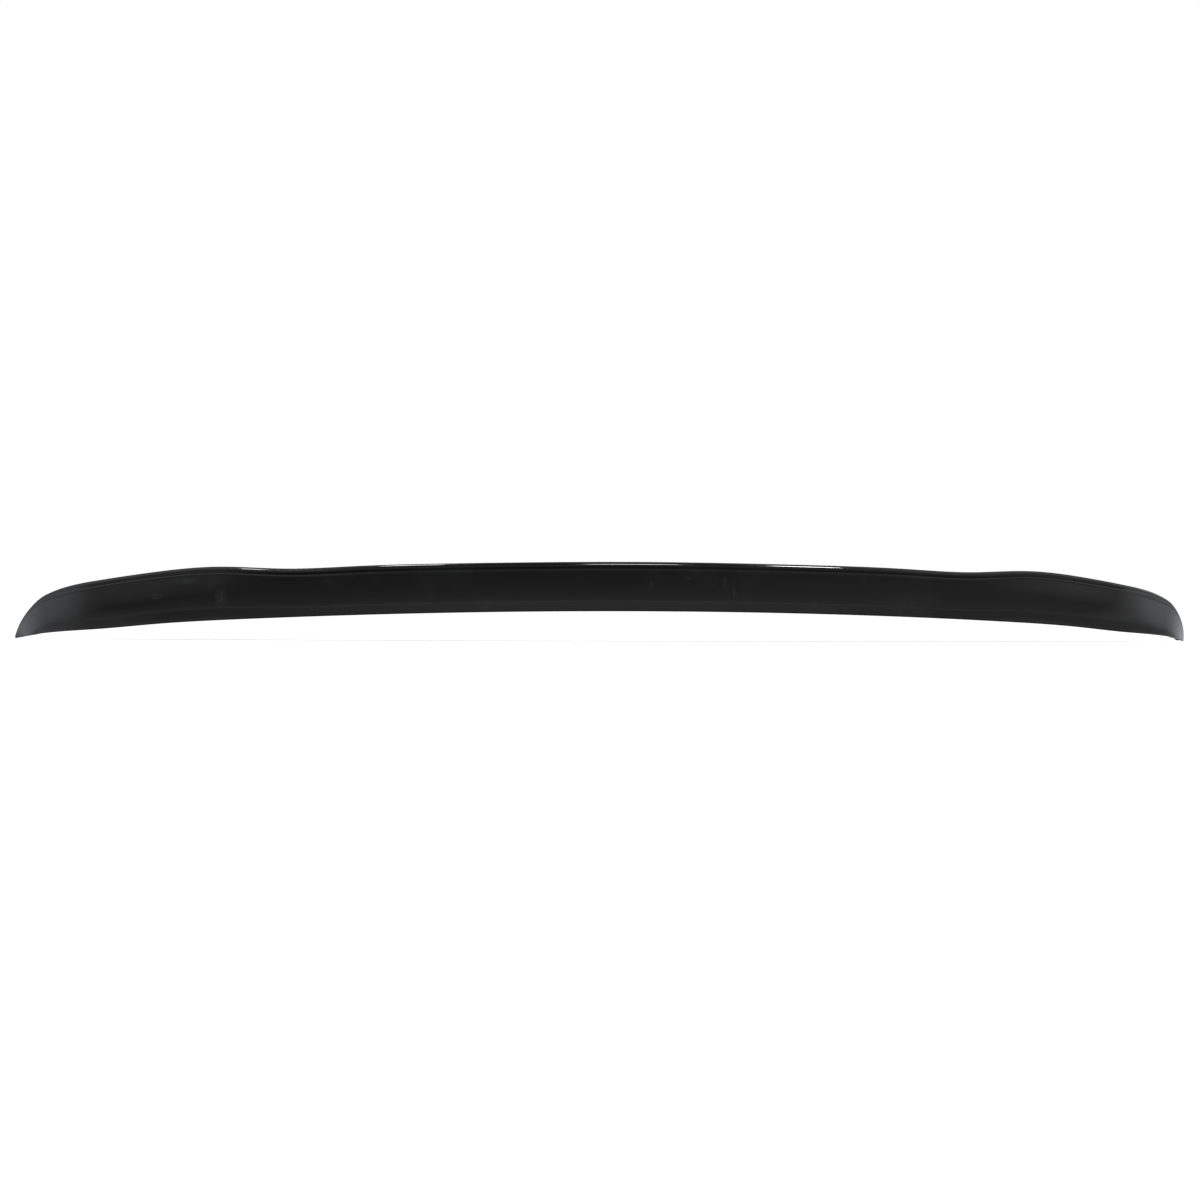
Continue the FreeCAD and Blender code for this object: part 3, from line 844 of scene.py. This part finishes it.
bpy.ops.object.select_all(action="DESELECT")
bpy.ops.mesh.primitive_plane_add(size=FLOOR_SIZE, location=(0, 0, floor_level))
floor = bpy.context.object
floor.name = "pale_floor"
floor.data.materials.append(pale_floor())
print(f"the floor lies at {floor_level / MM:.1f} mm")

# %% [markdown]
# The part is black, so what the eye sees on it is the room around it, mirrored.
# In the picture the rear face is a deep, even grey: the studio behind the camera is dim, and so is its floor.
# A wide grey tent and a floor sheet with painted shade give that. Only the gloss sees them.
# To both sides they open softly to a cool white, and the ends of the part, which face that way, turn pale.
# The tent comes first, with three greys from left to right near the floor and three more high up.

# %% Grey tent for the gloss
COOL_WHITE = linear("#f6f9ff")
TENT_SIZE = (18, 14, 7)
TENT_SINK = 0.1
# Greys at the left, in the middle and at the right, and where across the room each changes to the next
LOW_GREYS, LOW_CHANGES = (0.28, 0.44, 0.34), ((-5, -1), (3, 6.5))
HIGH_GREYS, HIGH_CHANGES = (0.62, 0.18, 0.60), ((-4, -1.5), (1.8, 7.5))
HIGH_FROM = (0.7, 1.8)
FAR_GREY = 0.15
FAR_TO_NEAR = (4, -1)
# For the left and the right side: the bearings over which the tent opens to white, and how white it gets
TENT_SIDES = ((-1, (36, 58), 1.1), (1, (56, 82), 1.1))


def bearing_past(tree, axis, sign, corner):
    """Bearing of a place from a corner near one end of the part, in degrees out from straight behind it."""
    out = add_node(tree, "ShaderNodeMath", (axis["X"], sign), operation="MULTIPLY")
    out = add_node(tree, "ShaderNodeMath", (out, corner[0]), operation="SUBTRACT")
    behind = add_node(tree, "ShaderNodeMath", (corner[1], axis["Y"]), operation="SUBTRACT")
    bearing = add_node(tree, "ShaderNodeMath", (out, behind), operation="ARCTAN2")
    return add_node(tree, "ShaderNodeMath", (bearing,), operation="DEGREES")


def for_gloss_only(thing, levels):
    """Make staging glow in reflections and nowhere else, in a grey that turns to cool white at two sides."""
    material, tree = new_material(thing.name)
    place = add_node(tree, "ShaderNodeTexCoord").outputs["Object"]
    strength, sides = levels(tree, place, add_node(tree, "ShaderNodeSeparateXYZ", (place,)).outputs)
    colour = WHITE
    for share, white in sides:
        strength = add_node(tree, "ShaderNodeMix", {"Factor": share, "A": strength, "B": white})
        colour = add_node(tree, "ShaderNodeMix", {
            "Factor": share, "A": colour, "B": COOL_WHITE}, data_type="RGBA").outputs["Result"]
    glow = add_node(tree, "ShaderNodeEmission", {"Color": colour, "Strength": strength})
    add_node(tree, "ShaderNodeOutputMaterial", {"Surface": glow})
    thing.data.materials.append(material)
    thing.visible_camera = False
    thing.visible_diffuse = False
    thing.visible_transmission = False
    thing.visible_shadow = False
    print(thing.name, "has", len(tree.nodes), "nodes")


def three_greys(tree, across, greys, changes):
    """A grey that changes softly from left to middle and from middle to right."""
    left, middle, right = greys
    grey = add_node(tree, "ShaderNodeMapRange", (across, *changes[0], left, middle),
                    interpolation_type="SMOOTHSTEP")
    more = add_node(tree, "ShaderNodeMapRange", (across, *changes[1], 0.0, right - middle),
                    interpolation_type="SMOOTHSTEP")
    return add_node(tree, "ShaderNodeMath", (grey, more), operation="ADD")


def tent_levels(tree, place, axis):
    """Grey of the tent, dim on the far side of the room, and for each side the share and level of white."""
    low = three_greys(tree, axis["X"], LOW_GREYS, LOW_CHANGES)
    high = three_greys(tree, axis["X"], HIGH_GREYS, HIGH_CHANGES)
    up = add_node(tree, "ShaderNodeMapRange", (axis["Z"], *HIGH_FROM), interpolation_type="SMOOTHSTEP")
    front = add_node(tree, "ShaderNodeMix", {"Factor": up, "A": low, "B": high})
    near = add_node(tree, "ShaderNodeMapRange", (axis["Y"], *FAR_TO_NEAR), interpolation_type="SMOOTHSTEP")
    grey = add_node(tree, "ShaderNodeMix", {"Factor": near, "A": FAR_GREY, "B": front})
    sides = []
    for sign, opens, white in TENT_SIDES:
        bearing = bearing_past(tree, axis, sign, (0, 0))
        share = add_node(tree, "ShaderNodeMapRange", (bearing, *opens), interpolation_type="SMOOTHSTEP")
        share = add_node(tree, "ShaderNodeMath", (near, share), operation="MULTIPLY")
        sides.append((share, white))
    return grey, sides


bpy.ops.object.select_all(action="DESELECT")
bpy.ops.mesh.primitive_cube_add(size=1)
tent = bpy.context.object
tent.name = "grey_tent"
for vertex in tent.data.vertices:
    vertex.co = [c * size for c, size in zip(vertex.co, TENT_SIZE)]
    vertex.co.z += TENT_SIZE[2] / 2 + floor_level - TENT_SINK
for_gloss_only(tent, tent_levels)

# %% [markdown]
# The floor sheet carries painted shade: dark right behind the lip, standing for the part's shadow on the
# floor, and paler with distance, with a soft painted gleam beside each wing.
# Past the ends it turns white, which the wrapped ends mirror as a pale edge.
# That white fades with distance, is dimmer in front of the tips, and has painted shade right beside the part,
# because a bright floor there would draw a line under the bead.

# %% Floor sheet with painted shade, for the gloss
SHEET_X, SHEET_Y = (-6, 6), (-4.5, 6.8)
# Grey far from the lip, and the distance at which half of it is reached: left, right, and where they change
SHEET_FAR = (0.41, 0.37)
SHEET_HALF_WAY = (200 * MM, 60 * MM)
SHEET_CHANGE = (-200 * MM, 500 * MM)
# Painted gleam beside each wing, in millimetres: place across, reach, start off the lip, and its level
GLEAMS = ((-540, (40, 190), (-40, 40), 0.32), (570, (40, 160), (0, 80), 0.34))
# White past each end: the bearings over which it opens, its level, the share that fades, the share left under
# painted shade close by
SHEET_SIDES = ((-1, (30, 60), 1.9, 0.6, 0.45), (1, (47, 68), 2.6, 0.8, 0.3))
SHEET_CORNER = (550 * MM, 45 * MM)
FADE_LENGTH = 150 * MM
WHITE_TURN = (50, 110)
WHITE_GAIN = (0.85, 1.5)
TIP_TURN = (105, 150)
TIP_SHARE = 0.2
SHADE_REACH = (5 * MM, 70 * MM)
wrap_centre = (
    SHOULDER - WRAP_RADIUS * math.sin(SHOULDER_HEADING),
    LIP + PLAN_RADIUS - (PLAN_RADIUS - WRAP_RADIUS) * math.cos(SHOULDER_HEADING),
)


def sheet_painted_shade(tree, flat, across):
    """Painted shade that lifts with the distance behind the lip, and painted gleams beside the wings."""
    sweep_centre = (0, LIP + PLAN_RADIUS, 0)
    out = add_node(tree, "ShaderNodeVectorMath", (flat, sweep_centre), operation="DISTANCE").outputs["Value"]
    away = add_node(tree, "ShaderNodeMath", (out, PLAN_RADIUS), operation="SUBTRACT")
    away = add_node(tree, "ShaderNodeMath", (away, 0.0), operation="MAXIMUM")
    half_way = add_node(tree, "ShaderNodeMapRange", (across, *SHEET_CHANGE, *SHEET_HALF_WAY),
                        interpolation_type="SMOOTHSTEP")
    far = add_node(tree, "ShaderNodeMapRange", (across, *SHEET_CHANGE, *SHEET_FAR),
                   interpolation_type="SMOOTHSTEP")
    # Painted shadow of the part: the sheet is darkest at the lip and lifts to its far grey with distance
    whole = add_node(tree, "ShaderNodeMath", (away, half_way), operation="ADD")
    grey = add_node(tree, "ShaderNodeMath", (away, whole), operation="DIVIDE")
    grey = add_node(tree, "ShaderNodeMath", (grey, far), operation="MULTIPLY")
    # Painted gleams: pale patches added on the sheet beside the wings
    for spot, (near, gone), (start, full), level in GLEAMS:
        off = add_node(tree, "ShaderNodeVectorMath", (flat, (spot * MM, 0, 0)), operation="DISTANCE")
        gleam = add_node(tree, "ShaderNodeMapRange", (off.outputs["Value"], near * MM, gone * MM, level, 0.0),
                         interpolation_type="SMOOTHSTEP")
        starts = add_node(tree, "ShaderNodeMapRange", (away, start * MM, full * MM),
                          interpolation_type="SMOOTHSTEP")
        gleam = add_node(tree, "ShaderNodeMath", (gleam, starts), operation="MULTIPLY")
        grey = add_node(tree, "ShaderNodeMath", (grey, gleam), operation="ADD")
    return grey


def end_white(tree, flat, bearing, sign, white, fading, shade):
    """Level of the white past one end: it fades with distance, turns with the bearing, and has painted shade
    close by.
    """
    corner = (sign * SHEET_CORNER[0], SHEET_CORNER[1], 0)
    past = add_node(tree, "ShaderNodeVectorMath", (flat, corner), operation="DISTANCE").outputs["Value"]
    past = add_node(tree, "ShaderNodeMath", (past, FADE_LENGTH), operation="ADD")
    fade = add_node(tree, "ShaderNodeMath", (FADE_LENGTH * fading, past), operation="DIVIDE")
    level = add_node(tree, "ShaderNodeMath", (fade, 1 - fading), operation="ADD")
    gains = (white * gain for gain in WHITE_GAIN)
    turn = add_node(tree, "ShaderNodeMapRange", (bearing, *WHITE_TURN, *gains),
                    interpolation_type="SMOOTHSTEP")
    tip = add_node(tree, "ShaderNodeMapRange", (bearing, *TIP_TURN, 1.0, TIP_SHARE),
                   interpolation_type="SMOOTHSTEP")
    # Painted shade right beside the turned end of the part
    end = (sign * wrap_centre[0], wrap_centre[1], 0)
    shade_beside = add_node(tree, "ShaderNodeVectorMath", (flat, end), operation="DISTANCE").outputs["Value"]
    shade_beside = add_node(tree, "ShaderNodeMath", (shade_beside, WRAP_RADIUS), operation="SUBTRACT")
    shade_beside = add_node(tree, "ShaderNodeMapRange", (shade_beside, *SHADE_REACH, shade, 1.0),
                      interpolation_type="SMOOTHSTEP")
    for share in (turn, tip, shade_beside):
        level = add_node(tree, "ShaderNodeMath", (level, share), operation="MULTIPLY")
    return level


def sheet_levels(tree, place, axis):
    """Grey of the sheet, and for each side the share and level of white."""
    flat = add_node(tree, "ShaderNodeVectorMath", (place, (1, 1, 0)), operation="MULTIPLY")
    sides = []
    for sign, opens, white, fading, shade in SHEET_SIDES:
        bearing = bearing_past(tree, axis, sign, SHEET_CORNER)
        share = add_node(tree, "ShaderNodeMapRange", (bearing, *opens), interpolation_type="SMOOTHSTEP")
        sides.append((share, end_white(tree, flat, bearing, sign, white, fading, shade)))
    return sheet_painted_shade(tree, flat, axis["X"]), sides


# The sheet of painted shade and gleams lies on the floor and is seen only in reflections
bpy.ops.object.select_all(action="DESELECT")
bpy.ops.mesh.primitive_plane_add(size=2)
sheet = bpy.context.object
sheet.name = "painted_shade_sheet"
for vertex in sheet.data.vertices:
    vertex.co = (SHEET_X[vertex.co.x > 0], SHEET_Y[vertex.co.y > 0], floor_level + FLOOR_GAP)
for_gloss_only(sheet, sheet_levels)

# %% [markdown]
# Two wide soft lamps, one above and one at the right, give the plain light of a studio.
# The one above is left out of reflections, where it would be a white patch on the skin.

# %% Soft lamps
# Name, place, aim, size and radiance of each, and whether the gloss sees it
SOFT_LAMPS = (
    ("key_softbox", (0.4, -0.6, 2.6), (0, 0, 0), (2.2, 1.4), 1.2, False),
    ("right_softbox", (2.3, 0.4, 1.0), (0.6, 0.05, 0), (0.9, 0.9), 1.4, True),
)


def soft_lamp(name, place, aim, size, radiance):
    """A rectangular lamp that is as bright as asked wherever it is seen, whatever its size."""
    data = bpy.data.lights.new(name, "AREA")
    data.shape = "RECTANGLE"
    data.size, data.size_y = size
    data.energy = radiance * math.pi * size[0] * size[1]
    lamp = bpy.data.objects.new(name, data)
    bpy.context.scene.collection.objects.link(lamp)
    lamp.location = place
    lamp.rotation_euler = (Vector(aim) - Vector(place)).to_track_quat("-Z", "Y").to_euler()
    return lamp


for name, place, aim, size, radiance, in_gloss in SOFT_LAMPS:
    soft_lamp(name, place, aim, size, radiance).visible_glossy = in_gloss
print(len(SOFT_LAMPS), "soft lamps")

# %% [markdown]
# Narrow lamps draw the thin white lines along the bead. Each stands where the bead mirrors it to the camera,
# so its place is worked out by mirroring the line of sight at the spot where the line should lie.
# A lamp with a narrow spread lights only that way, so it doesn't show on the ends seen from other sides.
# The spread makes a lamp brighter along its axis, and its energy is cut by the same factor.

# %% Line lamps
LINE_LAMP_DISTANCE = 2.5
LINE_LAMP_HEIGHT = 0.5
LINE_LAMP_SPREAD = math.radians(20)
# Name, start and end of the line across the part in millimetres, tilt of the bead in degrees, and radiance
LINE_LAMPS = (
    ("line_lamp_far_left", -399, -377, 30, 44),
    ("line_lamp_left", -257, -201, 42, 48),
    ("line_lamp_middle", -58, 40, 17, 32),
    ("line_lamp_right", 138, 206, 26, 88),
)
lip_z = floor_z + bead_v


def mirrored_spot(across, tilt):
    """A spot on the bead that faces up by a tilt, and the place of a lamp that the camera sees in it."""
    i = int(np.argmin(np.abs(station["across"] - across)))
    heading = station["heading"][i]
    rear = Vector((math.sin(heading), -math.cos(heading), 0))
    slope = (lip_z[i + 1] - lip_z[i - 1]) / (lengths[i + 1] - lengths[i - 1])
    along = Vector((math.cos(heading), math.sin(heading), slope))
    facing = rear * math.cos(tilt) + Vector((0, 0, math.sin(tilt)))
    facing = (facing - facing.project(along)).normalized()
    spot = Vector((station["across"][i], station["along"][i], lip_z[i])) + (facing - rear) * float(bead_r[i])
    sight = (spot - camera.location).normalized()
    return spot, spot + sight.reflect(facing) * LINE_LAMP_DISTANCE


def line_lamp(name, start, end, tilt, radiance):
    """Lamp that draws a bright line on the bead, from one place across the part to another."""
    (first, lamp_first), (last, lamp_last) = mirrored_spot(start, tilt), mirrored_spot(end, tilt)
    middle, place = (first + last) / 2, (lamp_first + lamp_last) / 2
    long_way = lamp_last - lamp_first
    lamp = soft_lamp(name, place, middle, (long_way.length, LINE_LAMP_HEIGHT), radiance)
    half_spread = LINE_LAMP_SPREAD / 2
    lamp.data.spread = LINE_LAMP_SPREAD
    lamp.data.energy *= 1 - half_spread / math.tan(half_spread)
    backward = (place - middle).normalized()
    side = (long_way - long_way.project(backward)).normalized()
    lamp.rotation_euler = Matrix((side, backward.cross(side), backward)).transposed().to_euler()
    lamp.visible_diffuse = False


for name, start, end, tilt, radiance in LINE_LAMPS:
    line_lamp(name, start * MM, end * MM, math.radians(tilt), radiance)
print(len(LINE_LAMPS), "line lamps")

# %% [markdown]
# The plain Standard view keeps white as white and shows the finish as it was set.

# %% View settings
bpy.context.scene.view_settings.view_transform = "Standard"
